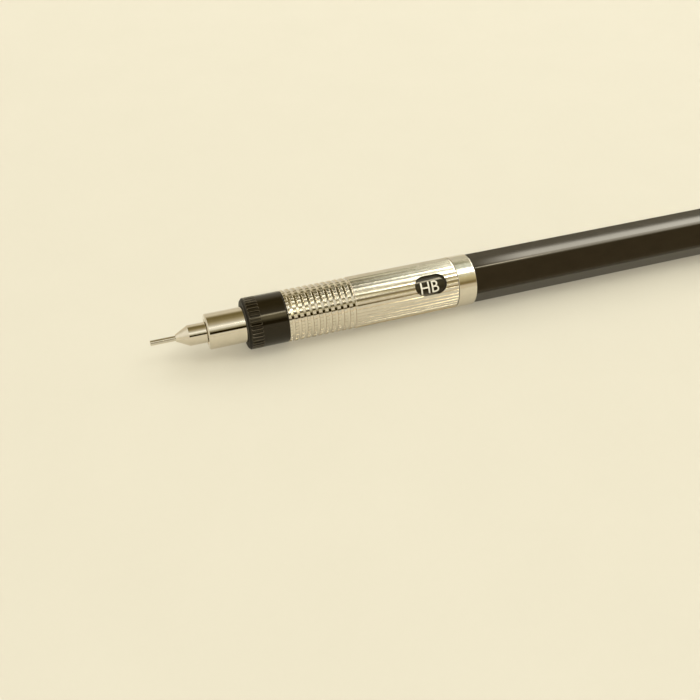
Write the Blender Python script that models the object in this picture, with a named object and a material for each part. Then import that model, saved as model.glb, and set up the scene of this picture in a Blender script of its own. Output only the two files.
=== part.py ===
"""Mechanical drafting pencil with a turning lead-grade dial, knock mechanism, clip and eraser.

Metres, +Z up.  The pencil lies along X with its writing end towards -X.
Stations along the pencil are millimetres from the tip of the lead sleeve.
"""
import math

import bmesh
import bpy
import numpy as np
from mathutils import Vector

MM = 0.001

# Overall
LENGTH = 142.0
BAND_R = 4.55
ROUND = 48
FINE = 24
SMALL = 16

# Lead sleeve and nose
SLEEVE_R = 0.45
SLEEVE_BORE = 0.30
SLEEVE_END = 10.2
CONE_X = 4.12
CONE_END = 6.25
CONE_R0 = 0.58
NOSE_R = 1.74
NOSE_END = 9.15
FERRULE_X = 9.22
FERRULE_R = 3.035
STUB_R = 1.62
STUB_END = 12.5
JOURNAL_R = 3.0
FERRULE_END = 25.5

# Grade dial
DIAL_X = 15.63
DIAL_END = 22.35
DIAL_R = 4.40
DIAL_BORE = 3.05
FLUTES = 40
FLUTE_PHASE = math.radians(3.5)
FLUTE_X0 = 16.08
FLUTE_X1 = 17.95
FLUTE_W = 0.36
FLUTE_DEPTH = 0.22
SLEEVE_OUT = 3.85
SLEEVE_IN = 3.25
GRADE_END = 51.6

# Grip
GRIP_X = 22.40
GRIP_END = 52.87
GRIP_R = 4.50
GRIP_BORE = 3.95
RIBS = 45
RIB_PHASE = math.radians(3.5)
KNURL_ROWS = 11
KNURL_PITCH = 1.065
GROOVE_X = 23.13
GROOVE_HALF = 0.24
REED_DEPTH = 0.10
GROOVE_DEPTH = 0.28
WINDOW_X = 47.82
WINDOW_LONG = 5.86
WINDOW_WIDE = 3.52
WINDOW_UP = math.radians(41.5)

# Band, inner tube and barrel
BAND_END = 56.22
TUBE_R = 3.15
TUBE_BORE = 2.35
TUBE_SEAT = 3.93
TUBE_END = 64.0
BARREL_END = 117.0
HEX_FLATS = 7.85
HEX_ROUND = 0.80
BARREL_BORE = 3.25
BARREL_REAR_BORE = 3.45

# Clip and rear ferrule
CLIP_BAND_END = 122.5
REAR_END = 125.4
REAR_BORE = 2.95
CLIP_WIDE = 3.6
CLIP_THICK = 0.7
CLIP_DOWN = math.radians(-30.0)
CLIP_PIVOT_X = 120.9
CLIP_PIVOT_R = 4.35

# Mechanism
JAW_X = 16.8
JAW_END = 23.1
JAW_HALF = math.radians(56.0)
JAW_PIVOT_R = 0.5
STEM_R = 1.2
STEM_END = 39.5
SPRING_X = 26.15
SPRING_END = 36.95
SPRING_R = 1.75
WIRE_R = 0.20
SPRING_TURNS = 8
TANK_X = 40.1
TANK_END = 130.0
TANK_R = 1.8
TANK_BORE = 1.4
LEAD_R = 0.25
LEAD_X = 0.4
LEAD_LONG = 60.0
SPARE_X = 62.0
BUTTON_X = 119.0
BUTTON_R = 2.9

# The clip reaches further to one side than the round bands do, so the axis sits off centre.
FLAT_REACH = BAND_R * math.cos(math.pi / ROUND)
CLIP_OUT = 5.56 + CLIP_THICK / 2
CLIP_REACH = CLIP_OUT * math.cos(CLIP_DOWN) - CLIP_WIDE / 2 * math.sin(CLIP_DOWN)
AXIS_Y = -(CLIP_REACH - FLAT_REACH) / 2
AXIS_Z = FLAT_REACH

PALETTE = {
    "steel": ((0.62, 0.61, 0.58, 1), 1.0, 0.22),
    "chrome": ((0.80, 0.79, 0.75, 1), 1.0, 0.08),
    "brass": ((0.72, 0.53, 0.24, 1), 1.0, 0.25),
    "black_plastic": ((0.020, 0.019, 0.017, 1), 0.0, 0.45),
    "barrel_plastic": ((0.030, 0.022, 0.016, 1), 0.0, 0.20),
    "grey_plastic": ((0.55, 0.55, 0.52, 1), 0.0, 0.45),
    "rubber": ((0.03, 0.03, 0.03, 1), 0.0, 0.80),
    "eraser": ((0.86, 0.85, 0.82, 1), 0.0, 0.90),
    "graphite": ((0.06, 0.06, 0.065, 1), 0.6, 0.35),
}


def clear_scene():
    for obj in list(bpy.data.objects):
        bpy.data.objects.remove(obj, do_unlink=True)


def station(x):
    """Row X, in metres, of a distance from the tip in millimetres."""
    return (x - LENGTH / 2) * MM


def material_for(name, kind):
    color, metallic, roughness = PALETTE[kind]
    mat = bpy.data.materials.new(name)
    mat.use_nodes = True
    shader = mat.node_tree.nodes["Principled BSDF"]
    shader.inputs["Base Color"].default_value = color
    shader.inputs["Metallic"].default_value = metallic
    shader.inputs["Roughness"].default_value = roughness
    mat.diffuse_color = color
    return mat


def add_object(name, kind, bm, smooth=True):
    """Store a mesh built in millimetres about the pencil's axis as an object."""
    bmesh.ops.recalc_face_normals(bm, faces=bm.faces)
    bmesh.ops.scale(bm, vec=(MM, MM, MM), verts=bm.verts)
    mesh = bpy.data.meshes.new(name)
    bm.to_mesh(mesh)
    bm.free()
    mesh.materials.append(material_for(name, kind))
    if smooth:
        mesh.shade_smooth()
        mesh.set_sharp_from_angle(angle=math.radians(32.0))
    obj = bpy.data.objects.new(name, mesh)
    obj.location = (station(0.0), AXIS_Y * MM, AXIS_Z * MM)
    bpy.context.scene.collection.objects.link(obj)
    return obj


def move_origin(obj, point):
    """Put the object's origin at a point given in millimetres about the axis."""
    shift = Vector(point) * MM
    for vert in obj.data.vertices:
        vert.co -= shift
    obj.location = Vector(obj.location) + shift


def ring_points(bm, x, radius, count, wave=0.0, phase=0.0):
    """One ring of vertices about the X axis, with a flat facet facing down at phase 0."""
    verts = []
    for i in range(count):
        a = phase + 2 * math.pi * (i + 0.5) / count
        r = radius - (wave if i % 2 else 0.0)
        verts.append(bm.verts.new((x, r * math.cos(a), r * math.sin(a))))
    return verts


def turned(name, kind, profile, count, waves=None, phase=0.0):
    """Closed solid turned about the axis from a closed (x, r) profile."""
    bm = bmesh.new()
    rings = []
    for index, (x, r) in enumerate(profile):
        if r <= 0:
            rings.append([bm.verts.new((x, 0, 0))])
        else:
            wave = waves[index] if waves else 0.0
            rings.append(ring_points(bm, x, r, count, wave, phase))
    for a, b in zip(rings, rings[1:] + rings[:1]):
        if len(a) == 1 and len(b) == 1:
            continue
        for i in range(count):
            j = (i + 1) % count
            if len(a) == 1:
                bm.faces.new((a[0], b[i], b[j]))
            elif len(b) == 1:
                bm.faces.new((a[i], a[j], b[0]))
            else:
                bm.faces.new((a[i], a[j], b[j], b[i]))
    return add_object(name, kind, bm)


def tube(name, kind, x0, x1, outer, inner, count, chamfer=0.0):
    """Plain tube, with its outer edges eased when a chamfer is given."""
    c = chamfer
    profile = [(x0, inner), (x0, outer - c)]
    if c:
        profile.append((x0 + c, outer))
        profile.append((x1 - c, outer))
    profile.append((x1, outer - c))
    profile.append((x1, inner))
    return turned(name, kind, profile, count)


def cut(obj, cutter):
    """Subtract one closed mesh and apply the result."""
    mod = obj.modifiers.new("cut", "BOOLEAN")
    mod.operation = "DIFFERENCE"
    mod.solver = "EXACT"
    mod.object = cutter
    depsgraph = bpy.context.evaluated_depsgraph_get()
    result = bpy.data.meshes.new_from_object(obj.evaluated_get(depsgraph))
    obj.modifiers.clear()
    old = obj.data
    obj.data = result
    bpy.data.meshes.remove(old)
    bpy.data.objects.remove(cutter, do_unlink=True)
    obj.data.shade_smooth()
    obj.data.set_sharp_from_angle(angle=math.radians(32.0))


def stadium(length, width, arc=6):
    """Outline of a slot with round ends, longest along its first axis."""
    r = width / 2
    half = length / 2 - r
    points = []
    for k in range(arc + 1):
        a = -math.pi / 2 + math.pi * k / arc
        points.append((half + r * math.cos(a), r * math.sin(a)))
    for k in range(arc + 1):
        a = math.pi / 2 + math.pi * k / arc
        points.append((-half + r * math.cos(a), r * math.sin(a)))
    return points


def radial_prism(bm, outline, x, angle, r0, r1):
    """Prism pointing outwards from the axis, its outline lying along X and around."""
    out = Vector((0, math.cos(angle), math.sin(angle)))
    around = Vector((0, -math.sin(angle), math.cos(angle)))
    low = [bm.verts.new(Vector((x + u, 0, 0)) + around * v + out * r0) for u, v in outline]
    high = [bm.verts.new(Vector((x + u, 0, 0)) + around * v + out * r1) for u, v in outline]
    bm.faces.new(low)
    bm.faces.new(high)
    count = len(outline)
    for i in range(count):
        j = (i + 1) % count
        bm.faces.new((low[i], low[j], high[j], high[i]))


def cutter_from(bm):
    bmesh.ops.recalc_face_normals(bm, faces=bm.faces)
    bmesh.ops.scale(bm, vec=(MM, MM, MM), verts=bm.verts)
    mesh = bpy.data.meshes.new("cutter")
    bm.to_mesh(mesh)
    bm.free()
    obj = bpy.data.objects.new("cutter", mesh)
    obj.location = (station(0.0), AXIS_Y * MM, AXIS_Z * MM)
    bpy.context.scene.collection.objects.link(obj)
    obj.hide_render = True
    obj.display_type = "WIRE"
    return obj


def build_nose():
    tube("lead_sleeve", "steel", 0.0, SLEEVE_END, SLEEVE_R, SLEEVE_BORE, FINE, 0.05)
    turned("tip_cone", "chrome", [
        (CONE_X, SLEEVE_R + 0.01),
        (CONE_X, CONE_R0 - 0.03),
        (CONE_X + 0.04, CONE_R0),
        (CONE_END - 0.05, NOSE_R - 0.05),
        (CONE_END + 0.10, NOSE_R),
        (NOSE_END, NOSE_R),
        (NOSE_END, 1.40),
        (NOSE_END + 0.45, 1.40),
        (NOSE_END + 0.50, STUB_R),
        (STUB_END, STUB_R),
        (STUB_END, 0.93),
        (10.3, 0.93),
        (10.3, SLEEVE_R + 0.01),
    ], FINE)
    tube("lead_retainer", "rubber", 10.5, 12.4, 0.91, 0.28, SMALL)
    turned("front_ferrule", "chrome", [
        (FERRULE_X + 0.35, STUB_R + 0.02),
        (FERRULE_X + 0.35, 2.00),
        (FERRULE_X + 0.05, 2.10),
        (FERRULE_X, 2.20),
        (FERRULE_X, FERRULE_R - 0.25),
        (FERRULE_X + 0.06, FERRULE_R - 0.10),
        (FERRULE_X + 0.20, FERRULE_R),
        (DIAL_X - 0.05, FERRULE_R),
        (DIAL_X - 0.05, JOURNAL_R),
        (16.6, JOURNAL_R),
        (16.6, 2.75),
        (17.4, 2.75),
        (17.4, JOURNAL_R),
        (FERRULE_END, JOURNAL_R),
        (FERRULE_END, 2.45),
        (16.25, 2.45),
        (16.25, 1.95),
        (12.6, 1.95),
        (12.6, STUB_R + 0.02),
    ], ROUND)


def build_dial():
    torus = []
    for k in range(8):
        a = 2 * math.pi * k / 8
        torus.append((17.0 + 0.28 * math.cos(a), 3.04 + 0.28 * math.sin(a)))
    turned("dial_friction_ring", "rubber", torus, FINE)
    dial = turned("dial_ring", "black_plastic", [
        (DIAL_X, DIAL_BORE),
        (DIAL_X, DIAL_R - 0.38),
        (DIAL_X + 0.28, DIAL_R - 0.06),
        (DIAL_X + 0.40, DIAL_R),
        (DIAL_END - 0.12, DIAL_R),
        (DIAL_END, DIAL_R - 0.12),
        (DIAL_END, SLEEVE_OUT + 0.02),
        (18.5, SLEEVE_OUT + 0.02),
        (18.5, DIAL_BORE),
        (17.45, DIAL_BORE),
        (17.45, 3.36),
        (16.55, 3.36),
        (16.55, DIAL_BORE),
    ], ROUND)
    bm = bmesh.new()
    outline = stadium(FLUTE_X1 - FLUTE_X0, FLUTE_W, 3)
    for k in range(FLUTES):
        angle = FLUTE_PHASE + 2 * math.pi * k / FLUTES
        middle = (FLUTE_X0 + FLUTE_X1) / 2
        radial_prism(bm, outline, middle, angle, DIAL_R - FLUTE_DEPTH, DIAL_R + 0.3)
    cut(dial, cutter_from(bm))
    tube("grade_sleeve", "black_plastic", 18.55, GRADE_END, SLEEVE_OUT, SLEEVE_IN, ROUND)


def build_grip():
    profile = [(GRIP_X, GRIP_BORE), (GRIP_X, GRIP_R - 0.15), (GRIP_X + 0.12, GRIP_R)]
    waves = [0.0, 0.0, REED_DEPTH]
    for row in range(KNURL_ROWS):
        x = GROOVE_X + row * KNURL_PITCH
        profile.append((x - GROOVE_HALF, GRIP_R))
        profile.append((x, GRIP_R - GROOVE_DEPTH))
        profile.append((x + GROOVE_HALF, GRIP_R))
        waves += [REED_DEPTH, 0.0, REED_DEPTH]
    profile.append((GRIP_END - 0.06, GRIP_R))
    profile.append((GRIP_END, GRIP_R - 0.12))
    profile.append((GRIP_END, GRIP_BORE))
    waves += [REED_DEPTH, 0.0, 0.0]
    grip = turned("grip", "steel", profile, 2 * RIBS, waves, RIB_PHASE)
    bm = bmesh.new()
    angle = math.pi - WINDOW_UP
    outline = stadium(WINDOW_LONG, WINDOW_WIDE, 8)
    radial_prism(bm, outline, WINDOW_X, angle, 2.9, GRIP_R + 0.6)
    cut(grip, cutter_from(bm))


def build_middle():
    turned("grip_band", "chrome", [
        (GRIP_END + 0.03, TUBE_SEAT + 0.02),
        (GRIP_END + 0.03, BAND_R - 0.10),
        (GRIP_END + 0.13, BAND_R),
        (BAND_END - 0.35, BAND_R),
        (BAND_END - 0.03, BAND_R - 0.25),
        (BAND_END - 0.03, TUBE_SEAT + 0.02),
    ], ROUND)
    turned("inner_tube", "brass", [
        (19.75, 1.5),
        (19.75, 2.33),
        (19.85, 2.43),
        (25.6, 2.43),
        (25.6, TUBE_R),
        (51.7, TUBE_R),
        (51.7, TUBE_SEAT),
        (BAND_END - 0.02, TUBE_SEAT),
        (BAND_END - 0.02, BARREL_BORE - 0.03),
        (TUBE_END, BARREL_BORE - 0.03),
        (TUBE_END, TUBE_BORE),
        (26.0, TUBE_BORE),
        (26.0, 1.5),
    ], ROUND)
    hex_barrel()


def hexagon(flats, rounding, per_corner=6):
    """Six-sided outline with rounded edges, flats facing straight up and down."""
    points = []
    corner = flats / math.sqrt(3)
    inset = corner - rounding * 2 / math.sqrt(3)
    for k in range(6):
        a = math.pi * k / 3
        cy = inset * math.cos(a)
        cz = inset * math.sin(a)
        for m in range(per_corner + 1):
            b = a - math.pi / 6 + math.pi / 3 * m / per_corner
            points.append((cy + rounding * math.cos(b), cz + rounding * math.sin(b)))
    return points


def hex_barrel():
    """Six-sided moulding with a bore that widens for the rear ferrule."""
    bm = bmesh.new()
    loops = []
    for x, shrink in (
        (BAND_END, 0.12), (BAND_END + 0.12, 0.0), (BARREL_END - 0.12, 0.0), (BARREL_END, 0.12),
    ):
        outline = hexagon(HEX_FLATS - 2 * shrink, HEX_ROUND)
        loops.append([bm.verts.new((x, y, z)) for y, z in outline])
    bm.faces.new(loops[0])
    bm.faces.new(loops[-1])
    count = len(loops[0])
    for a, b in zip(loops, loops[1:]):
        for i in range(count):
            j = (i + 1) % count
            bm.faces.new((a[i], a[j], b[j], b[i]))
    barrel = add_object("barrel", "barrel_plastic", bm)
    bore = turned("cutter", "brass", [
        (BAND_END - 1.0, 0.0),
        (BAND_END - 1.0, BARREL_BORE),
        (107.0, BARREL_BORE),
        (107.0, BARREL_REAR_BORE + 0.02),
        (BARREL_END + 1.0, BARREL_REAR_BORE + 0.02),
        (BARREL_END + 1.0, 0.0),
    ], ROUND)
    bore.hide_render = True
    bore.display_type = "WIRE"
    cut(barrel, bore)


def build_rear():
    band = turned("clip_band", "chrome", [
        (BARREL_END + 0.03, BARREL_REAR_BORE + 0.02),
        (BARREL_END + 0.03, BAND_R - 0.20),
        (BARREL_END + 0.23, BAND_R),
        (CLIP_BAND_END - 0.23, BAND_R),
        (CLIP_BAND_END - 0.03, BAND_R - 0.20),
        (CLIP_BAND_END - 0.03, BARREL_REAR_BORE + 0.02),
    ], ROUND)
    bm = bmesh.new()
    half_x = 0.62
    half_w = CLIP_WIDE / 2 + 0.06
    slot = [(-half_x, -half_w), (half_x, -half_w), (half_x, half_w), (-half_x, half_w)]
    radial_prism(bm, slot, CLIP_PIVOT_X + 0.12, CLIP_DOWN, 3.85, 6.0)
    cut(band, cutter_from(bm))
    turned("rear_ferrule", "chrome", [
        (108.0, REAR_BORE),
        (108.0, BARREL_REAR_BORE - 0.02),
        (CLIP_BAND_END, BARREL_REAR_BORE - 0.02),
        (CLIP_BAND_END, 4.10),
        (CLIP_BAND_END + 0.20, 4.30),
        (REAR_END - 1.00, 4.30),
        (REAR_END - 0.20, 3.85),
        (REAR_END, 3.65),
        (REAR_END, REAR_BORE),
    ], ROUND)
    build_clip()


def ribbon(points, thickness):
    """Closed outline of a strip of even thickness along an open line."""
    pts = [np.array(p) for p in points]
    left = []
    right = []
    for i, p in enumerate(pts):
        a = pts[max(i - 1, 0)]
        b = pts[min(i + 1, len(pts) - 1)]
        d0 = (p - a) if i else (b - p)
        d1 = (b - p) if i < len(pts) - 1 else (p - a)
        d0 = d0 / np.linalg.norm(d0)
        d1 = d1 / np.linalg.norm(d1)
        mid = d0 + d1
        mid = mid / np.linalg.norm(mid)
        normal = np.array((-mid[1], mid[0]))
        stretch = 1.0 / max(0.5, float(np.dot(mid, d0)))
        left.append(p + normal * thickness / 2 * stretch)
        right.append(p - normal * thickness / 2 * stretch)
    return left + right[::-1]


def build_clip():
    """Spring clip bent from one strip, folded into the slot of its band."""
    line = [
        (121.05, 4.20), (121.05, 4.75), (120.80, 5.22), (120.30, 5.48), (119.40, 5.56),
        (96.20, 5.56), (95.20, 5.40), (93.60, 4.62), (92.70, 4.40), (91.80, 4.55), (90.60, 5.15),
    ]
    outline = ribbon(line, CLIP_THICK)
    out = Vector((0, math.cos(CLIP_DOWN), math.sin(CLIP_DOWN)))
    side = Vector((0, -math.sin(CLIP_DOWN), math.cos(CLIP_DOWN)))
    bm = bmesh.new()
    sides = []
    for offset in (-CLIP_WIDE / 2, CLIP_WIDE / 2):
        sides.append([bm.verts.new(Vector((x, 0, 0)) + out * h + side * offset) for x, h in outline])
    bm.faces.new(sides[0])
    bm.faces.new(sides[1])
    count = len(outline)
    for i in range(count):
        j = (i + 1) % count
        bm.faces.new((sides[0][i], sides[0][j], sides[1][j], sides[1][i]))
    clip = add_object("clip_arm", "chrome", bm)
    pivot = Vector((CLIP_PIVOT_X, 0, 0)) + out * CLIP_PIVOT_R
    move_origin(clip, pivot)


def build_jaws():
    """Three fingers of the chuck, each turning outwards about its root."""
    profile = [
        (JAW_X, 0.28), (JAW_X, 1.20), (JAW_X + 0.3, 1.35), (19.5, 0.95),
        (19.9, 0.80), (JAW_END, 0.80), (JAW_END, 0.28),
    ]
    steps = 6
    for k in range(3):
        centre = math.pi / 2 + 2 * math.pi * k / 3
        bm = bmesh.new()
        fans = []
        for s in range(steps + 1):
            a = centre - JAW_HALF + 2 * JAW_HALF * s / steps
            fans.append([bm.verts.new((x, r * math.cos(a), r * math.sin(a))) for x, r in profile])
        bm.faces.new(fans[0])
        bm.faces.new(fans[-1])
        count = len(profile)
        for a, b in zip(fans, fans[1:]):
            for i in range(count):
                j = (i + 1) % count
                bm.faces.new((a[i], a[j], b[j], b[i]))
        jaw = add_object("chuck_jaw_%d" % (k + 1), "brass", bm)
        move_origin(jaw, (JAW_END, JAW_PIVOT_R * math.cos(centre), JAW_PIVOT_R * math.sin(centre)))


def build_spring():
    """Coil spring between the inner tube's shoulder and the tank connector."""
    bm = bmesh.new()
    per_turn = 14
    sides = 6
    total = per_turn * SPRING_TURNS
    x0 = SPRING_X + WIRE_R
    x1 = SPRING_END - WIRE_R
    rings = []
    for i in range(total + 1):
        a = 2 * math.pi * i / per_turn
        x = x0 + (x1 - x0) * i / total
        out = Vector((0, math.cos(a), math.sin(a)))
        centre = Vector((x, 0, 0)) + out * SPRING_R
        ring = []
        for k in range(sides):
            b = 2 * math.pi * k / sides
            ring.append(bm.verts.new(centre + out * WIRE_R * math.cos(b) + Vector((WIRE_R * math.sin(b), 0, 0))))
        rings.append(ring)
    bm.faces.new(rings[0])
    bm.faces.new(rings[-1])
    for a, b in zip(rings, rings[1:]):
        for k in range(sides):
            j = (k + 1) % sides
            bm.faces.new((a[k], a[j], b[j], b[k]))
    add_object("return_spring", "steel", bm)


def build_mechanism():
    turned("clutch_ring", "brass", [
        (17.2, 1.37),
        (17.2, 2.26),
        (17.3, 2.36),
        (19.5, 2.36),
        (19.6, 2.26),
        (19.6, 0.985),
    ], FINE)
    build_jaws()
    tube("chuck_stem", "brass", JAW_END + 0.1, STEM_END, STEM_R, 0.36, SMALL, 0.1)
    build_spring()
    turned("tank_connector", "grey_plastic", [
        (37.1, STEM_R + 0.02),
        (37.1, 2.15),
        (37.2, 2.25),
        (TANK_X - 0.02, 2.25),
        (TANK_X - 0.02, TANK_BORE - 0.02),
        (45.0, TANK_BORE - 0.02),
        (45.0, 0.5),
        (STEM_END + 0.1, 0.5),
        (STEM_END + 0.1, STEM_R + 0.02),
    ], FINE)
    tube("lead_tank", "grey_plastic", TANK_X, TANK_END, TANK_R, TANK_BORE, FINE)
    turned("lead", "graphite", [
        (LEAD_X, 0.0),
        (LEAD_X, LEAD_R - 0.04),
        (LEAD_X + 0.08, LEAD_R),
        (LEAD_X + LEAD_LONG, LEAD_R),
        (LEAD_X + LEAD_LONG, 0.0),
    ], 16)
    for k, swing in enumerate((-16.0, 16.0)):
        spare = turned("spare_lead_%d" % (k + 1), "graphite", [
            (SPARE_X, 0.0),
            (SPARE_X, LEAD_R),
            (SPARE_X + LEAD_LONG, LEAD_R),
            (SPARE_X + LEAD_LONG, 0.0),
        ], 12)
        a = math.radians(-90.0 + swing)
        for vert in spare.data.vertices:
            vert.co += Vector((0, 1.1 * math.cos(a), 1.1 * math.sin(a))) * MM


def build_cap():
    turned("eraser_holder", "steel", [
        (126.0, 0.0),
        (126.0, TANK_BORE - 0.03),
        (TANK_END + 0.05, TANK_BORE - 0.03),
        (TANK_END + 0.05, 1.75),
        (132.4, 1.75),
        (132.4, 1.52),
        (131.0, 1.52),
        (131.0, 0.0),
    ], SMALL)
    turned("eraser", "eraser", [
        (131.05, 0.0),
        (131.05, 1.50),
        (136.3, 1.50),
        (136.6, 1.25),
        (136.6, 0.0),
    ], SMALL)
    turned("push_button", "chrome", [
        (BUTTON_X, TANK_R + 0.03),
        (BUTTON_X, BUTTON_R - 0.1),
        (BUTTON_X + 0.1, BUTTON_R),
        (LENGTH - 1.0, BUTTON_R),
        (LENGTH - 0.45, BUTTON_R - 0.25),
        (LENGTH - 0.12, BUTTON_R - 0.75),
        (LENGTH, BUTTON_R - 1.5),
        (LENGTH, 0.0),
        (LENGTH - 1.1, 0.0),
        (LENGTH - 1.1, 2.0),
        (123.0, 2.0),
        (122.8, TANK_R + 0.03),
    ], ROUND)


clear_scene()
build_nose()
build_dial()
build_grip()
build_middle()
build_rear()
build_mechanism()
build_cap()
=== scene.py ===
"""Looks of a mechanical drafting pencil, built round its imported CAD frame.

The pencil lies along X with its writing end towards -X. Stations are millimetres
from the tip, and radii are millimetres from the pencil's axis.
"""

import math

import bmesh
import bpy
import numpy as np
from mathutils import Matrix, Vector


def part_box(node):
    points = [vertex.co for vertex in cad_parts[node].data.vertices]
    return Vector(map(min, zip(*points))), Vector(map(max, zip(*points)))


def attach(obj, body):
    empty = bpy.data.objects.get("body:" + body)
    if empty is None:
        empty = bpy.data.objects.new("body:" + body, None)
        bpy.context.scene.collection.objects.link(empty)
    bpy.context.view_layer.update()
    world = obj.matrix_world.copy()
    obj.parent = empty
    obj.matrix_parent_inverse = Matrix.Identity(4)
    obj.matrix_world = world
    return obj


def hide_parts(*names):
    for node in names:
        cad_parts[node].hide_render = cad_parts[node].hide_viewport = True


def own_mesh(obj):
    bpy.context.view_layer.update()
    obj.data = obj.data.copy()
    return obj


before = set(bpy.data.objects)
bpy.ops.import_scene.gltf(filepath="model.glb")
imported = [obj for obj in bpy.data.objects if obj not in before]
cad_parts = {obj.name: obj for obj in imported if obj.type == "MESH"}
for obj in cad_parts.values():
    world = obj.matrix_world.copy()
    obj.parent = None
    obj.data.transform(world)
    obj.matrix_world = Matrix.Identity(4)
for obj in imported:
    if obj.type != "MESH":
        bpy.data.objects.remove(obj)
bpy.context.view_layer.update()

MM = 0.001
FINE_TURN = 192                # faces round a large turned piece
SMALL_TURN = 64                # faces round a small one
FILLET_STEPS = 4
EDGE_KEEP = 0.03               # from a fillet to the point that keeps the face beside it flat

# Grip: ribs all round, ring grooves across them in front, and an oval window behind
RIBS = 45
RIB_PHASE = math.radians(177.5)
RIB_STEPS = (0.0, 0.14, 0.29, 0.45, 0.61, 0.79, 0.97)    # points across a rib, as shares of it
RIB_LEAN = 6.0                 # slope in the middle of a rib's long side, degrees
RIB_HOLLOW = 13.0              # added to the slope at its crest, and taken off at its foot
GRIP_BORE = 3.95
KNURL_R = 4.42
KNURL_END = 34.15
KNURL_ROWS = 11
KNURL_PITCH = 1.065
GROOVE_X = 23.13
GROOVE_HALF = 0.26
GROOVE_FLANK = 0.06
GROOVE_DEPTH = 0.16
WINDOW_X = 47.82
WINDOW_LONG = 5.80
WINDOW_WIDE = 3.44
WINDOW_FLARE = 0.16
WINDOW_ARC = 24                # steps round each end of the window
WINDOW_UP = math.radians(41.5)

# Grade dial and the marks on its sleeve
FLUTES = 40
FLUTE_PHASE = math.radians(174.5)
FLUTE_X0 = 16.08
FLUTE_X1 = 17.95
FLUTE_W = 0.34
FLUTE_DEPTH = 0.22
FLUTE_EDGE = 0.06              # depth of the chamfer round each flute
FLUTE_ARC = 5
GRADES = ("HB", "F", "H", "2H", "2B", "B")
LETTER_HIGH = 2.0
LETTER_WIDE = 3.3              # width of a two-letter grade
LETTER_SPAN = 1.45             # width of two letters in the font's own units
LETTER_SLICE = 0.2             # the print is cut this fine, so that it bends round the sleeve
LETTER_SINK = 0.010
LETTER_THICK = 0.022
LETTER_TURN = math.radians(4.9)
LETTER_SHIFT = -0.10

# Barrel
HEX_FLATS = 7.85
HEX_ROUND = 0.80
HEX_CROWN = 60.0               # radius that the flat sides are crowned to
HEX_ARC = 12                   # steps round each edge
HEX_SIDE = 16                  # steps along each side
BARREL_BORE = 3.25
BARREL_REAR_BORE = 3.47
BARREL_REAR = 10.0             # length of the wider rear bore

# Clip
CLIP_DOWN = math.radians(-30.0)
CLIP_WIDE = 3.6
CLIP_THICK = 0.7
CLIP_SLOT_X = 121.02

# Return spring
WIRE_R = 0.195
WIRE_SIDES = 12
SPRING_TURNS = 8
SPRING_STEPS = 32              # rings to each turn of the spring

# Stage and lights
FLOOR_HALF = 1.2               # metres
DOME_R = 1.15                  # metres
DOME_TOP = 0.8                 # metres, where the dome's tone stops changing
HALF_TURN = 180.0              # degrees
WINDOW_GLOW = 5.8
STRIP_POWER = 11.0
STRIP_EDGE = 1.2               # degrees over which the strip light fades at its edges
KEY_POWER = 0.6                # watts
KEY_SIZE = 0.30                # metres
KEY_PLACE = (0.05, 0.42, 0.40)
FILL_POWER = 2.3               # watts to a square metre

# Camera, fitted to the round edges in the photograph
IMAGE_WIDE = 700.0             # pixels
CAMERA_AZIMUTH = math.radians(18.823)
CAMERA_ELEVATION = math.radians(39.747)
CAMERA_DISTANCE = 148.46
CAMERA_FOCAL = 861.9           # pixels
CAMERA_AIM = 34.28             # station at the middle column of the picture
CAMERA_DROP = 47.27            # pixels from the picture's middle up to that station
SENSOR = 36.0


def axis_point():
    """The pencil's axis, in metres, from its round lead sleeve."""
    low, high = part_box("lead_sleeve")
    return Vector((low.x, (low.y + high.y) / 2, (low.z + high.z) / 2))


TIP = axis_point()


def span(node):
    """First station, last station and outer radius of a round CAD node, in millimetres."""
    low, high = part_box(node)
    return (low.x - TIP.x) / MM, (high.x - TIP.x) / MM, (high.z - low.z) / 2 / MM


# ---------------------------------------------------------------- materials


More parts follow.
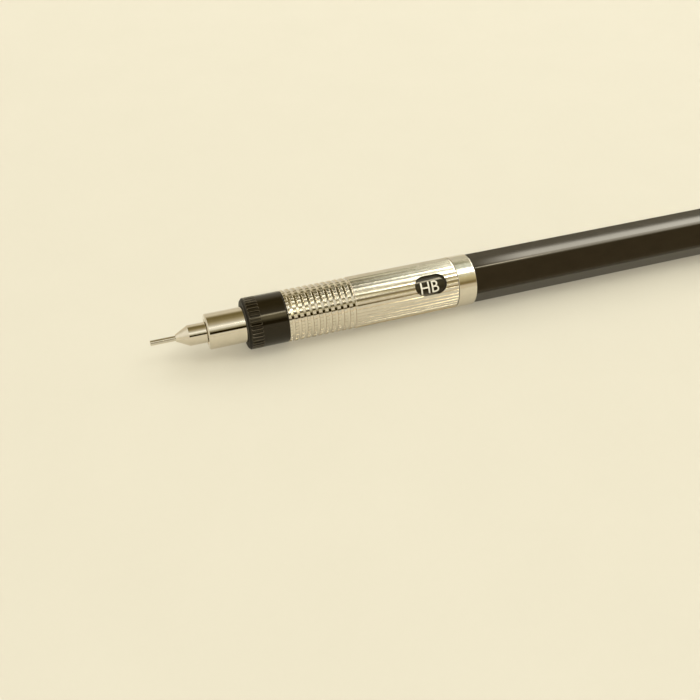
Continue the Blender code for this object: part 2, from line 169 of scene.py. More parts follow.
class Nodes:
    """Short way to build one material's node tree."""

    def __init__(self, name, color, metallic, roughness):
        self.mat = bpy.data.materials.new(name)
        self.mat.use_nodes = True
        self.tree = self.mat.node_tree
        self.shader = self.tree.nodes["Principled BSDF"]
        self.set("Base Color", (*color, 1.0))
        self.set("Metallic", metallic)
        self.set("Roughness", roughness)
        self.coords = self.tree.nodes.new("ShaderNodeTexCoord").outputs["Object"]
        self.mat.diffuse_color = (*color, 1.0)

    def set(self, socket, value):
        self.shader.inputs[socket].default_value = value

    def link(self, a, b):
        self.tree.links.new(a, b)

    def mapping(self, scale):
        node = self.tree.nodes.new("ShaderNodeMapping")
        node.inputs["Scale"].default_value = scale
        self.link(self.coords, node.inputs["Vector"])
        return node.outputs["Vector"]

    def noise(self, scale, detail, rough=0.5):
        """Noise whose scale is given per metre along each axis."""
        node = self.tree.nodes.new("ShaderNodeTexNoise")
        node.inputs["Scale"].default_value = 1.0
        node.inputs["Detail"].default_value = detail
        node.inputs["Roughness"].default_value = rough
        self.link(self.mapping(scale), node.inputs["Vector"])
        return node.outputs["Fac"]

    def ramp(self, value, low, high, color_low, color_high):
        node = self.tree.nodes.new("ShaderNodeValToRGB")
        node.color_ramp.elements[0].position = low
        node.color_ramp.elements[0].color = (*color_low, 1.0)
        node.color_ramp.elements[1].position = high
        node.color_ramp.elements[1].color = (*color_high, 1.0)
        self.link(value, node.inputs["Fac"])
        return node.outputs["Color"]

    def spread(self, value, low, high):
        """Stretch the middle of a noise's range to run from low to high."""
        node = self.tree.nodes.new("ShaderNodeMapRange")
        node.inputs["From Min"].default_value = 0.3
        node.inputs["From Max"].default_value = 0.7
        node.inputs["To Min"].default_value = low
        node.inputs["To Max"].default_value = high
        self.link(value, node.inputs["Value"])
        return node.outputs["Result"]

    def bump(self, height, strength, distance):
        """Normal for a bump whose distance is in millimetres."""
        node = self.tree.nodes.new("ShaderNodeBump")
        node.inputs["Strength"].default_value = strength
        node.inputs["Distance"].default_value = distance * MM
        self.link(height, node.inputs["Height"])
        return node.outputs["Normal"]


def polished_metal(name, color, roughness, smear, turned_marks=0.02):
    """Plated metal with turning marks round it and faint smears in the polish."""
    n = Nodes(name, color, 1.0, roughness)
    smears = n.noise((900, 900, 900), 4.0, 0.6)
    n.link(n.spread(smears, roughness, roughness + smear), n.shader.inputs["Roughness"])
    tone = n.ramp(smears, 0.35, 0.70, [c * 0.93 for c in color], color)
    n.link(tone, n.shader.inputs["Base Color"])
    marks = n.noise((26000, 300, 300), 2.0)
    n.link(n.bump(marks, turned_marks, 0.01), n.shader.inputs["Normal"])
    return n.mat


def moulded_plastic(name, color, roughness, grain, specular=0.5):
    """Moulded plastic with a very fine grain, handling marks and uneven gloss."""
    n = Nodes(name, color, 0.0, roughness)
    n.set("Specular IOR Level", specular)
    n.set("Specular Tint", (1.0, 0.91, 0.74, 1.0))
    patches = n.noise((350, 700, 700), 4.0, 0.6)
    n.link(n.spread(patches, roughness, roughness * 1.35), n.shader.inputs["Roughness"])
    tone = n.ramp(patches, 0.30, 0.75, [c * 0.88 for c in color], [c * 1.10 for c in color])
    n.link(tone, n.shader.inputs["Base Color"])
    fine = n.noise((9000, 9000, 9000), 2.0)
    n.link(n.bump(fine, grain, 0.02), n.shader.inputs["Normal"])
    return n.mat


def soft_rubber(name, color, roughness=0.8):
    """Dull rubber or vinyl with a crumbly surface."""
    n = Nodes(name, color, 0.0, roughness)
    crumbs = n.noise((2600, 2600, 2600), 5.0, 0.65)
    tone = n.ramp(crumbs, 0.30, 0.70, [c * 0.85 for c in color], color)
    n.link(tone, n.shader.inputs["Base Color"])
    n.link(n.bump(crumbs, 0.25, 0.05), n.shader.inputs["Normal"])
    return n.mat


CHROME = (0.72, 0.67, 0.57)
MATERIALS = {
    "chrome": polished_metal("chrome_plate", CHROME, 0.04, 0.03),
    "band": polished_metal("band_chrome", CHROME, 0.06, 0.04, 0.03),
    "grip": polished_metal("grip_metal", CHROME, 0.15, 0.04, 0.03),
    "steel": polished_metal("sleeve_steel", (0.66, 0.62, 0.53), 0.08, 0.06, 0.05),
    "brass": polished_metal("turned_brass", (0.78, 0.57, 0.27), 0.20, 0.10, 0.08),
    "dial": moulded_plastic("dial_black", (0.007, 0.005, 0.002), 0.07, 0.004, 0.36),
    # Lighter brown for the chamfers round the flutes: a painted highlight that stands in for the
    # glints along the flute edges
    "flute_highlight": moulded_plastic("dial_flute_painted_highlight", (0.060, 0.050, 0.034), 0.20, 0.02, 0.7),
    "dial_front": moulded_plastic("dial_matt_front", (0.007, 0.006, 0.004), 0.45, 0.05, 0.2),
    "grades": moulded_plastic("grade_black", (0.008, 0.007, 0.004), 0.05, 0.004, 0.7),
    "barrel": moulded_plastic("barrel_plastic", (0.0165, 0.0125, 0.0075), 0.06, 0.004, 0.36),
    "tank": moulded_plastic("tank_plastic", (0.50, 0.50, 0.47), 0.35, 0.03),
    "mark": moulded_plastic("grade_paint", (0.60, 0.58, 0.52), 0.45, 0.02),
    "seal": soft_rubber("seal_rubber", (0.03, 0.03, 0.03)),
    "eraser": soft_rubber("eraser_vinyl", (0.86, 0.85, 0.82), 0.9),
    "graphite": polished_metal("graphite", (0.10, 0.10, 0.105), 0.35, 0.10, 0.05),
}


# ---------------------------------------------------------------- meshes


def place(name, bm, material, body, node=None, sharp=30.0):
    """Turn a mesh built in millimetres about the axis into a piece riding on a body.

    It stands for the CAD node, if one is given. Edges over sharp degrees stay sharp.
    """
    if name == node:
        name += "_visual"
    bmesh.ops.recalc_face_normals(bm, faces=bm.faces)
    for vert in bm.verts:
        vert.co = TIP + vert.co * MM
    mesh = bpy.data.meshes.new(name)
    bm.to_mesh(mesh)
    bm.free()
    mesh.materials.append(MATERIALS[material])
    mesh.shade_smooth()
    mesh.set_sharp_from_angle(angle=math.radians(sharp))
    obj = bpy.data.objects.new(name, mesh)
    bpy.context.scene.collection.objects.link(obj)
    flatten = obj.modifiers.new("flat faces stay flat", "WEIGHTED_NORMAL")
    flatten.keep_sharp = True
    flatten.weight = 80
    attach(obj, body)
    if node:
        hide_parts(node)
    return obj


def eased(corners):
    """Closed outline from (x, r, easing) corners, each easing a fillet radius.

    A point just outside each end of a fillet keeps the long faces beside it flat.
    """
    points = []
    count = len(corners)
    for i, (x, r, ease) in enumerate(corners):
        here = Vector((x, r))
        if ease <= 0:
            points.append((x, r))
            continue
        before = Vector(corners[i - 1][:2]) - here
        after = Vector(corners[(i + 1) % count][:2]) - here
        half = before.angle(after) / 2
        reach = min(ease / math.tan(half), before.length * 0.49, after.length * 0.49)
        radius = reach * math.tan(half)
        start = here + before.normalized() * reach
        end = here + after.normalized() * reach
        inwards = (before.normalized() + after.normalized()).normalized()
        middle = here + inwards * radius / math.sin(half)
        a = start - middle
        b = end - middle
        if before.length > 2.2 * reach + 3 * EDGE_KEEP:
            point = start + before.normalized() * EDGE_KEEP
            points.append((point.x, point.y))
        for k in range(FILLET_STEPS + 1):
            blend = a.lerp(b, k / FILLET_STEPS)
            point = middle + blend.normalized() * radius
            points.append((point.x, point.y))
        if after.length > 2.2 * reach + 3 * EDGE_KEEP:
            point = end + after.normalized() * EDGE_KEEP
            points.append((point.x, point.y))
    return points


def lathe(profile, count):
    """Closed bmesh turned about the axis from a closed (x, r) outline."""
    bm = bmesh.new()
    rings = []
    for x, r in profile:
        if r <= 1e-6:
            rings.append([bm.verts.new((x, 0, 0))])
            continue
        ring = []
        for i in range(count):
            a = 2 * math.pi * (i + 0.5) / count
            ring.append(bm.verts.new((x, r * math.cos(a), r * math.sin(a))))
        rings.append(ring)
    for a, b in zip(rings, rings[1:] + rings[:1]):
        if len(a) == 1 and len(b) == 1:
            continue
        for i in range(count):
            j = (i + 1) % count
            if len(a) == 1:
                bm.faces.new((a[0], b[i], b[j]))
            elif len(b) == 1:
                bm.faces.new((a[i], a[j], b[0]))
            else:
                bm.faces.new((a[i], a[j], b[j], b[i]))
    return bm


def turned(name, corners, material, body, count=FINE_TURN):
    """Turned piece that stands for the CAD node of its name, from (x, r, easing) corners."""
    return place(name, lathe(eased(corners), count), material, body, name)


def subtract(obj, cutter_bm, sharp=30.0):
    """Cut a closed mesh out of a piece and keep the result as its mesh."""
    bmesh.ops.recalc_face_normals(cutter_bm, faces=cutter_bm.faces)
    for vert in cutter_bm.verts:
        vert.co = TIP + vert.co * MM
    mesh = bpy.data.meshes.new("cutter")
    cutter_bm.to_mesh(mesh)
    cutter_bm.free()
    cutter = bpy.data.objects.new("cutter", mesh)
    bpy.context.scene.collection.objects.link(cutter)
    flatten = obj.modifiers[0]
    flatten.show_viewport = False
    mod = obj.modifiers.new("cut", "BOOLEAN")
    mod.operation = "DIFFERENCE"
    mod.solver = "EXACT"
    mod.object = cutter
    depsgraph = bpy.context.evaluated_depsgraph_get()
    result = bpy.data.meshes.new_from_object(obj.evaluated_get(depsgraph))
    obj.modifiers.remove(mod)
    flatten.show_viewport = True
    old = obj.data
    obj.data = result
    bpy.data.meshes.remove(old)
    bpy.data.objects.remove(cutter, do_unlink=True)
    obj.data.shade_smooth()
    obj.data.set_sharp_from_angle(angle=math.radians(sharp))


def outward(angle):
    """Direction away from the axis, at an angle about it."""
    return Vector((0, math.cos(angle), math.sin(angle)))


def around(angle):
    """Direction round the axis, at an angle about it."""
    return Vector((0, -math.sin(angle), math.cos(angle)))


def stadium(length, width, arc):
    """Outline of a slot with round ends, as (u, v) points."""
    r = width / 2
    half = length / 2 - r
    points = []
    for side, first in ((1, -math.pi / 2), (-1, math.pi / 2)):
        for k in range(arc + 1):
            a = first + math.pi * k / arc
            points.append((side * half + r * math.cos(a), r * math.sin(a)))
    return points


def radial_cutter(bm, x, angle, levels):
    """Prism pointing outwards. Each level is an outline with a height for each of its points."""
    out = outward(angle)
    side = around(angle)
    loops = []
    for outline, height in levels:
        loop = []
        for u, v in outline:
            loop.append(bm.verts.new(Vector((x + u, 0, 0)) + side * v + out * height(v)))
        loops.append(loop)
    bm.faces.new(loops[0])
    bm.faces.new(loops[-1])
    count = len(loops[0])
    for a, b in zip(loops, loops[1:]):
        for i in range(count):
            j = (i + 1) % count
            bm.faces.new((a[i], a[j], b[j], b[i]))


# ---------------------------------------------------------------- nose and dial


def make_nose():
    """Lead sleeve, cone and front ferrule."""
    x0, x1, r = span("lead_sleeve")
    turned("lead_sleeve", [
        (x0, 0.30, 0.03), (x0, r, 0.06), (x1, r, 0.0), (x1, 0.30, 0.0),
    ], "steel", "pencil_body", SMALL_TURN)
    cone_x, stub_end, _ = span("tip_cone")
    turned("tip_cone", [
        (cone_x, 0.46, 0.0), (cone_x, 0.60, 0.03), (6.25, 1.74, 0.03),
        (9.15, 1.74, 0.03), (9.15, 1.42, 0.0), (9.60, 1.42, 0.0), (9.62, 1.60, 0.0),
        (stub_end, 1.60, 0.0), (stub_end, 0.93, 0.0), (10.3, 0.93, 0.0), (10.3, 0.46, 0.0),
    ], "chrome", "pencil_body")
    front, back, r = span("front_ferrule")
    turned("front_ferrule", [
        (front + 0.35, 1.66, 0.0), (front + 0.35, 2.05, 0.05), (front, 2.15, 0.05),
        (front, r - 0.20, 0.05), (front + 0.18, r, 0.12), (15.55, r, 0.04), (15.55, 3.0, 0.0),
        (16.6, 3.0, 0.0), (16.6, 2.76, 0.0), (17.4, 2.76, 0.0), (17.4, 3.0, 0.0),
        (back, 3.0, 0.0), (back, 2.46, 0.0), (16.25, 2.46, 0.0), (16.25, 1.96, 0.0),
        (12.6, 1.96, 0.0), (12.6, 1.66, 0.0),
    ], "chrome", "pencil_body")


def make_dial():
    """Black ring with flutes round its front part."""
    x0, x1, r = span("dial_ring")
    dial = turned("dial_ring", [
        (x0, 3.05, 0.0), (x0, r - 0.36, 0.06), (x0 + 0.34, r, 0.12), (x1, r, 0.10),
        (x1, 3.87, 0.0), (18.5, 3.87, 0.0), (18.5, 3.05, 0.0), (17.45, 3.05, 0.0),
        (17.45, 3.36, 0.0), (16.55, 3.36, 0.0), (16.55, 3.05, 0.0),
    ], "dial", "grade_dial")
    bm = bmesh.new()
    length = FLUTE_X1 - FLUTE_X0
    narrow, wide, wider = [
        stadium(length + growth, FLUTE_W + growth, FLUTE_ARC) for growth in (-0.16, 0.0, 0.14)
    ]
    for k in range(FLUTES):
        radial_cutter(bm, (FLUTE_X0 + FLUTE_X1) / 2, FLUTE_PHASE + 2 * math.pi * k / FLUTES, [
            (narrow, lambda v: r - FLUTE_DEPTH),
            (wide, lambda v: r - FLUTE_DEPTH + 0.09),
            (wide, lambda v: r - FLUTE_EDGE),
            (wider, lambda v: r + 0.01),
            (wider, lambda v: r + 0.3),
        ])
    subtract(dial, bm, 40.0)
    dial.data.materials.append(MATERIALS["flute_highlight"])
    dial.data.materials.append(MATERIALS["dial_front"])
    for face in dial.data.polygons:
        spot = (face.center - TIP) / MM
        sunk = r - math.hypot(spot.y, spot.z)
        if spot.x < x0 + 0.33:
            face.material_index = 2
        # The chamfer round each flute gets the lighter painted-highlight material
        elif spot.x < FLUTE_X1 + 0.2 and 0.008 < sunk < FLUTE_EDGE - 0.01:
            face.material_index = 1


def letter_mesh(text):
    """Flat mesh of one grade in Blender's own font."""
    curve = bpy.data.curves.new("letters", "FONT")
    curve.body = text
    curve.size = 1.0
    curve.align_x = "CENTER"
    curve.resolution_u = 6
    obj = bpy.data.objects.new("letters", curve)
    bpy.context.scene.collection.objects.link(obj)
    depsgraph = bpy.context.evaluated_depsgraph_get()
    depsgraph.update()
    mesh = bpy.data.meshes.new_from_object(obj.evaluated_get(depsgraph))
    bpy.data.objects.remove(obj, do_unlink=True)
    return mesh


def make_grades():
    """The sleeve inside the grip, with a grade in raised print at each sixth of a turn."""
    x0, x1, r = span("grade_sleeve")
    turned("grade_sleeve", [
        (x0, 3.25, 0.0), (x0, r, 0.05), (x1, r, 0.05), (x1, 3.25, 0.0),
    ], "grades", "grade_dial")
    bm = bmesh.new()
    step = 2 * math.pi / len(GRADES)
    middle = math.pi - WINDOW_UP + LETTER_TURN
    for k, text in enumerate(GRADES):
        mesh = letter_mesh(text)
        co = np.array([v.co[:] for v in mesh.vertices])
        low = co.min(0)
        high = co.max(0)
        scale_v = LETTER_HIGH / (high[1] - low[1])
        width = LETTER_WIDE
        if len(text) == 1:
            width *= (high[0] - low[0]) / LETTER_SPAN
        scale_u = width / (high[0] - low[0])
        flat = bmesh.new()
        flat.from_mesh(mesh)
        for vert in flat.verts:
            u = (vert.co.x - (low[0] + high[0]) / 2) * scale_u
            v = (vert.co.y - (low[1] + high[1]) / 2) * scale_v
            vert.co = Vector((u, v, 0.0))
        for cut_v in np.arange((LETTER_SLICE - LETTER_HIGH) / 2, LETTER_HIGH / 2, LETTER_SLICE):
            geom = flat.verts[:] + flat.edges[:] + flat.faces[:]
            bmesh.ops.bisect_plane(flat, geom=geom, plane_co=(0, cut_v, 0), plane_no=(0, 1, 0))
        bmesh.ops.triangulate(flat, faces=flat.faces[:])
        solid = bmesh.ops.extrude_face_region(flat, geom=flat.faces[:])
        lifted = [g for g in solid["geom"] if isinstance(g, bmesh.types.BMVert)]
        for vert in lifted:
            vert.co.z = 1.0
        for vert in flat.verts:
            u, v, lift = vert.co
            a = middle + step * k - v / r
            x = WINDOW_X + LETTER_SHIFT + u
            vert.co = Vector((x, 0, 0)) + outward(a) * (r - LETTER_SINK + LETTER_THICK * lift)
        part = bpy.data.meshes.new("part")
        flat.to_mesh(part)
        flat.free()
        bm.from_mesh(part)
        bpy.data.meshes.remove(part)
        bpy.data.meshes.remove(mesh)
    place("grade_marks", bm, "mark", "grade_dial", sharp=40.0)


# ---------------------------------------------------------------- grip and band


def rib_profile():
    """Angles round the grip, and how far each lies below the crest of its rib.

    Each rib falls away from a sharp crest in a hollow curve, like a fine ratchet tooth.
    """
    angles = []
    depths = []
    for rib in range(RIBS):
        for t in RIB_STEPS:
            angles.append(RIB_PHASE + 2 * math.pi * (rib + t) / RIBS)
            s = 1 - 2 * t / RIB_STEPS[-1]
            fall = math.radians(RIB_LEAN * (1 - s) + RIB_HOLLOW / 2 * (1 - s * s))
            depths.append(fall * math.pi * KNURL_R / RIBS)
    return angles, depths


def knurl_stations(x0, x1, r):
    """(station, radius, how much of the rib depth shows) along the outside of the grip."""
    floor_half = GROOVE_HALF - GROOVE_FLANK
    floor_r = KNURL_R - GROOVE_DEPTH
    stations = [
        (x0, KNURL_R - 0.16, 0.0), (x0 + 0.05, KNURL_R - 0.05, 0.4), (x0 + 0.14, KNURL_R, 1.0),
    ]
    for row in range(KNURL_ROWS):
        x = GROOVE_X + row * KNURL_PITCH
        stations += [
            (x - GROOVE_HALF, KNURL_R, 1.0), (x - floor_half, floor_r, 0.0),
            (x + floor_half, floor_r, 0.0), (x + GROOVE_HALF, KNURL_R, 1.0),
        ]
    stations += [
        (KNURL_END, KNURL_R, 1.0), (KNURL_END + 0.06, r - 0.02, 1.0),
        (KNURL_END + 0.12, r, 1.0), (KNURL_END + 0.17, r, 1.0),
        (x1 - 0.15, r, 1.0), (x1 - 0.10, r, 1.0), (x1 - 0.04, r - 0.04, 0.6), (x1, r - 0.14, 0.0),
    ]
    return stations


def join_loops(bm, loops):
    """Skin a closed chain of loops that all have the same number of points."""
    count = len(loops[0])
    for a, b in zip(loops, loops[1:] + loops[:1]):
        for i in range(count):
            j = (i + 1) % count
            bm.faces.new((a[i], a[j], b[j], b[i]))


def make_grip():
    """Knurled and reeded metal tube with an oval window."""
    x0, x1, r = span("grip")
    angles, depths = rib_profile()
    bm = bmesh.new()
    rings = []
    for x, radius, show in knurl_stations(x0, x1, r):
        ring = []
        for a, depth in zip(angles, depths):
            ring.append(bm.verts.new(Vector((x, 0, 0)) + outward(a) * (radius - depth * show)))
        rings.append(ring)
    for x in (x1, x0):
        rings.append([bm.verts.new(Vector((x, 0, 0)) + outward(a) * GRIP_BORE) for a in angles])
    join_loops(bm, rings)
    grip = place("grip", bm, "grip", "pencil_body", "grip", 38.0)
    cutter = bmesh.new()
    hole = stadium(WINDOW_LONG, WINDOW_WIDE, WINDOW_ARC)
    flare = stadium(WINDOW_LONG + WINDOW_FLARE, WINDOW_WIDE + WINDOW_FLARE, WINDOW_ARC)

    def skin(offset):
        return lambda v: math.sqrt(r * r - v * v) + offset

    radial_cutter(cutter, WINDOW_X, math.pi - WINDOW_UP, [
        (hole, lambda v: 3.0), (hole, skin(-0.10)), (flare, skin(0.02)), (flare, lambda v: r + 0.5),
    ])
    subtract(grip, cutter, 38.0)
    grip.data.materials.append(MATERIALS["chrome"])
    for face in grip.data.polygons:
        spot = (face.center - TIP) / MM
        sunk = KNURL_R - math.hypot(spot.y, spot.z)
        if spot.x < KNURL_END and abs(sunk - GROOVE_DEPTH) < 0.02:
            face.material_index = 1


def make_band():
    x0, x1, r = span("grip_band")
    turned("grip_band", [
        (x0, GRIP_BORE, 0.0), (x0, r, 0.08), (x1, r, 0.06), (x1, GRIP_BORE, 0.0),
    ], "band", "pencil_body")


# ---------------------------------------------------------------- barrel


def hexagon(flats, rounding):
    """Six-sided outline with rounded edges and slightly crowned sides."""
    points = []
    corner = flats / math.sqrt(3)
    inset = corner - rounding * 2 / math.sqrt(3)
    for k in range(6):
        a = math.pi * k / 3
        centre = Vector((inset * math.cos(a), inset * math.sin(a)))
        for m in range(HEX_ARC + 1):
            b = a - math.pi / 6 + math.pi / 3 * m / HEX_ARC
            points.append(centre + rounding * Vector((math.cos(b), math.sin(b))))
        following = a + math.pi / 3
        nxt = Vector((inset * math.cos(following), inset * math.sin(following)))
        normal = Vector((math.cos(a + math.pi / 6), math.sin(a + math.pi / 6)))
        start = centre + rounding * normal
        end = nxt + rounding * normal
        for m in range(1, HEX_SIDE):
            points.append(start.lerp(end, m / HEX_SIDE))
    crowned = []
    for p in points:
        angle = math.atan2(p.y, p.x)
        side = (math.floor(angle / (math.pi / 3)) + 0.5) * math.pi / 3
        normal = Vector((math.cos(side), math.sin(side)))
        along = Vector((-normal.y, normal.x))
        t = min(1.0, abs(p.dot(along)) / (corner / 2))
        sag = (corner / 2) ** 2 / (2 * HEX_CROWN) * t * t
        crowned.append(p - normal * sag)
    return crowned


def make_barrel():
    """Hexagonal barrel with rounded ends and a round bore."""
    x0, x1, _ = span("barrel")
    bm = bmesh.new()
    loops = []
    ends = [(0.0, 0.16), (0.06, 0.05), (0.16, 0.0), (0.22, 0.0)]
    rounded = [(x0 + inset, shrink) for inset, shrink in ends]
    rounded += [(x1 - inset, shrink) for inset, shrink in reversed(ends)]
    for x, shrink in rounded:
        outline = hexagon(HEX_FLATS - 2 * shrink, HEX_ROUND)
        loops.append([bm.verts.new((x, p.x, p.y)) for p in outline])
    step = x1 - BARREL_REAR
    angles = [math.atan2(p.y, p.x) for p in outline]
    for x, bore in (
        (x1, BARREL_REAR_BORE), (step, BARREL_REAR_BORE), (step, BARREL_BORE), (x0, BARREL_BORE),
    ):
        loops.append([bm.verts.new(Vector((x, 0, 0)) + outward(a) * bore) for a in angles])
    join_loops(bm, loops)
    place("barrel", bm, "barrel", "pencil_body", "barrel")


# ---------------------------------------------------------------- rear end


def make_rear():
    """Band with the clip's slot, and the rear ferrule."""
    x0, x1, r = span("clip_band")
    band = turned("clip_band", [
        (x0, BARREL_REAR_BORE, 0.0), (x0, r, 0.14), (x1, r, 0.14), (x1, BARREL_REAR_BORE, 0.0),
    ], "chrome", "pencil_body")
    slot = bmesh.new()
    half_w = CLIP_WIDE / 2 + 0.05
    outline = [(-0.58, -half_w), (0.58, -half_w), (0.58, half_w), (-0.58, half_w)]
    levels = [(outline, lambda v: 3.88), (outline, lambda v: 6.0)]
    radial_cutter(slot, CLIP_SLOT_X, CLIP_DOWN, levels)
    subtract(band, slot)
    x0, x1, _ = span("rear_ferrule")
    turned("rear_ferrule", [
        (x0, 2.95, 0.0), (x0, 3.43, 0.0), (122.5, 3.43, 0.0), (122.5, 4.28, 0.08),
        (123.3, 4.30, 0.05), (123.42, 4.18, 0.05), (123.54, 4.30, 0.05),
        (124.4, 4.30, 0.30), (x1, 3.70, 0.15), (x1, 2.95, 0.05),
    ], "chrome", "pencil_body")


def strip_outline():
    """Side view of the bent clip strip, as (station, distance from the axis) points."""
    line = [
        (121.05, 4.20), (121.05, 4.75), (120.80, 5.22), (120.30, 5.48), (119.40, 5.56),
        (96.20, 5.56), (95.20, 5.40), (93.60, 4.62), (92.70, 4.40), (91.80, 4.55),
        (90.60, 5.15),
    ]
    pts = smooth_line([Vector(p) for p in line], 5)
    left = []
    right = []
    for i, p in enumerate(pts):
        a = pts[max(i - 1, 0)]
        b = pts[min(i + 1, len(pts) - 1)]
        run = (b - a).normalized()
        normal = Vector((-run.y, run.x)) * (CLIP_THICK - 0.02) / 2
        left.append(p + normal)
        right.append(p - normal)
    return left + right[::-1]


def smooth_line(points, steps):
    """Points of a line that bends smoothly through its corners."""
    out = [points[0]]
    for i in range(1, len(points) - 1):
        a = points[i - 1]
        b = points[i]
        c = points[i + 1]
        reach = min((b - a).length, (c - b).length) * 0.45
        start = b + (a - b).normalized() * reach
        end = b + (c - b).normalized() * reach
        for k in range(steps + 1):
            t = k / steps
            out.append(start.lerp(b, t).lerp(b.lerp(end, t), t))
    out.append(points[-1])
    return out


def make_clip():
    """Bent strip with softened edges."""
    outline = strip_outline()
    out = outward(CLIP_DOWN)
    side = around(CLIP_DOWN)
    bm = bmesh.new()
    loops = []
    half = CLIP_WIDE / 2 - 0.01
    for offset in (-half, half):
        loops.append([
            bm.verts.new(Vector((p.x, 0, 0)) + out * p.y + side * offset) for p in outline
        ])
    bm.faces.new(loops[0])
    bm.faces.new(loops[1])
    count = len(outline)
    for i in range(count):
        j = (i + 1) % count
        bm.faces.new((loops[0][i], loops[0][j], loops[1][j], loops[1][i]))
    bmesh.ops.recalc_face_normals(bm, faces=bm.faces)
    steep = math.radians(50)
    rims = [e for e in bm.edges if len(e.link_faces) == 2 and e.calc_face_angle() > steep]
    bmesh.ops.bevel(bm, geom=rims, offset=0.12, segments=3, profile=0.5, affect="EDGES")
    place("clip_arm", bm, "chrome", "clip", "clip_arm")


def make_button():
    """Push button, and the eraser with its holder inside it."""
    x0, x1, r = span("push_button")
    turned("push_button", [
        (x0, 1.84, 0.0), (x0, r, 0.15), (x1 - 3.0, r, 0.0), (x1 - 2.92, r - 0.08, 0.03),
        (x1 - 2.84, r, 0.0), (x1 - 0.60, r, 0.5), (x1, r - 1.3, 0.9), (x1, 0.0, 0.0),
        (x1 - 1.1, 0.0, 0.0), (x1 - 1.1, 2.0, 0.0), (123.0, 2.0, 0.0), (122.8, 1.84, 0.0),
    ], "chrome", "button")
    x0, x1, r = span("eraser_holder")
    turned("eraser_holder", [
        (x0, 0.0, 0.0), (x0, 1.37, 0.15), (130.05, 1.37, 0.0), (130.05, r, 0.06),
        (x1, r, 0.06), (x1, 1.52, 0.04), (131.0, 1.52, 0.0), (131.0, 0.0, 0.0),
    ], "steel", "eraser_unit", SMALL_TURN)
    x0, x1, r = span("eraser")
    turned("eraser", [
        (x0, 0.0, 0.0), (x0, r, 0.0), (x1, r, 0.35), (x1, 0.0, 0.0),
    ], "eraser", "eraser_unit", SMALL_TURN)


def make_lead():
    """The lead in use, and the tank for the spare ones."""
    x0, x1, r = span("lead")
    turned("lead", [
        (x0, 0.0, 0.0), (x0, r, 0.07), (x1, r, 0.02), (x1, 0.0, 0.0),
    ], "graphite", "lead", 32)
    x0, x1, r = span("lead_tank")
    turned("lead_tank", [
        (x0, 1.4, 0.0), (x0, r, 0.05), (x1, r, 0.10), (x1, 1.4, 0.08),
    ], "tank", "knock_unit", SMALL_TURN)


def make_spring():
    """Coil spring of round wire, wound along the span of the CAD return spring."""
    x0, x1, r = span("return_spring")
    x0 += WIRE_R
    x1 -= WIRE_R
    total = SPRING_STEPS * SPRING_TURNS
    bm = bmesh.new()
    rings = []
    for i in range(total + 1):
        x = x0 + (x1 - x0) * i / total
        out = outward(2 * math.pi * i / SPRING_STEPS)
        ring = []
        for k in range(WIRE_SIDES):
            b = 2 * math.pi * k / WIRE_SIDES
            along = Vector((x + WIRE_R * math.sin(b), 0, 0))
            ring.append(bm.verts.new(along + out * (r - WIRE_R + WIRE_R * math.cos(b))))
        rings.append(ring)
    bm.faces.new(rings[0])
    bm.faces.new(rings[-1])
    for before, after in zip(rings, rings[1:]):
        for k in range(WIRE_SIDES):
            j = (k + 1) % WIRE_SIDES
            bm.faces.new((before[k], before[j], after[j], after[k]))
    node = "return_spring"
    spring = place("return_spring_coil", bm, "steel", "knock_unit", node, 50.0)
    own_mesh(spring)


def dress_inner_nodes():
    """Better materials for the pieces kept from the CAD, all inside the pencil."""
    looks = {
        "brass": (
            "inner_tube", "chuck_stem", "chuck_jaw_1", "chuck_jaw_2", "chuck_jaw_3", "clutch_ring",
        ),
        "tank": ("tank_connector",),
        "graphite": ("spare_lead_1", "spare_lead_2"),
        "seal": ("lead_retainer", "dial_friction_ring"),
    }
    for material, nodes in looks.items():
        for node in nodes:
            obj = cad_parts[node]
            obj.data.materials.clear()
            obj.data.materials.append(MATERIALS[material])


# ---------------------------------------------------------------- stage


def make_floor():
    """Pale card that the pencil lies on."""
    bm = bmesh.new()
    bmesh.ops.create_grid(bm, x_segments=8, y_segments=8, size=FLOOR_HALF)
    mesh = bpy.data.meshes.new("floor")
    bm.to_mesh(mesh)
    bm.free()
    n = Nodes("floor_card", (0.405, 0.388, 0.333), 0.0, 0.75)
    mottle = n.noise((60, 60, 60), 3.0)
    tone = n.ramp(mottle, 0.3, 0.7, (0.402, 0.385, 0.330), (0.408, 0.391, 0.336))
    n.link(tone, n.shader.inputs["Base Color"])
    mesh.materials.append(n.mat)
    floor = bpy.data.objects.new("floor", mesh)
    floor.location.z = -0.00001
    bpy.context.scene.collection.objects.link(floor)


def make_backdrop():
    """Pale dome over the floor for low views.

    Light passes through it, so the pencil is lit by the world outside it and reflects that.
    """
    bm = bmesh.new()
    bmesh.ops.create_uvsphere(bm, u_segments=96, v_segments=48, radius=DOME_R)
    lower = [v for v in bm.verts if v.co.z < -0.1 * DOME_R]
    bmesh.ops.delete(bm, geom=lower, context="VERTS")
    mesh = bpy.data.meshes.new("backdrop")
    bm.to_mesh(mesh)
    bm.free()
    mesh.shade_smooth()
    n = Nodes("backdrop_card", (0.0, 0.0, 0.0), 0.0, 1.0)
    n.set("Specular IOR Level", 0.0)
    n.set("Emission Strength", 1.0)
    split = n.tree.nodes.new("ShaderNodeSeparateXYZ")
    n.link(n.coords, split.inputs["Vector"])
    glow = n.ramp(split.outputs["Z"], 0.0, DOME_TOP, (0.84, 0.775, 0.61), (0.90, 0.84, 0.69))
    n.link(glow, n.shader.inputs["Emission Color"])
    mesh.materials.append(n.mat)
    dome = bpy.data.objects.new("backdrop", mesh)
    dome.visible_diffuse = False
    dome.visible_glossy = False
    dome.visible_transmission = False
    dome.visible_shadow = False
    bpy.context.scene.collection.objects.link(dome)


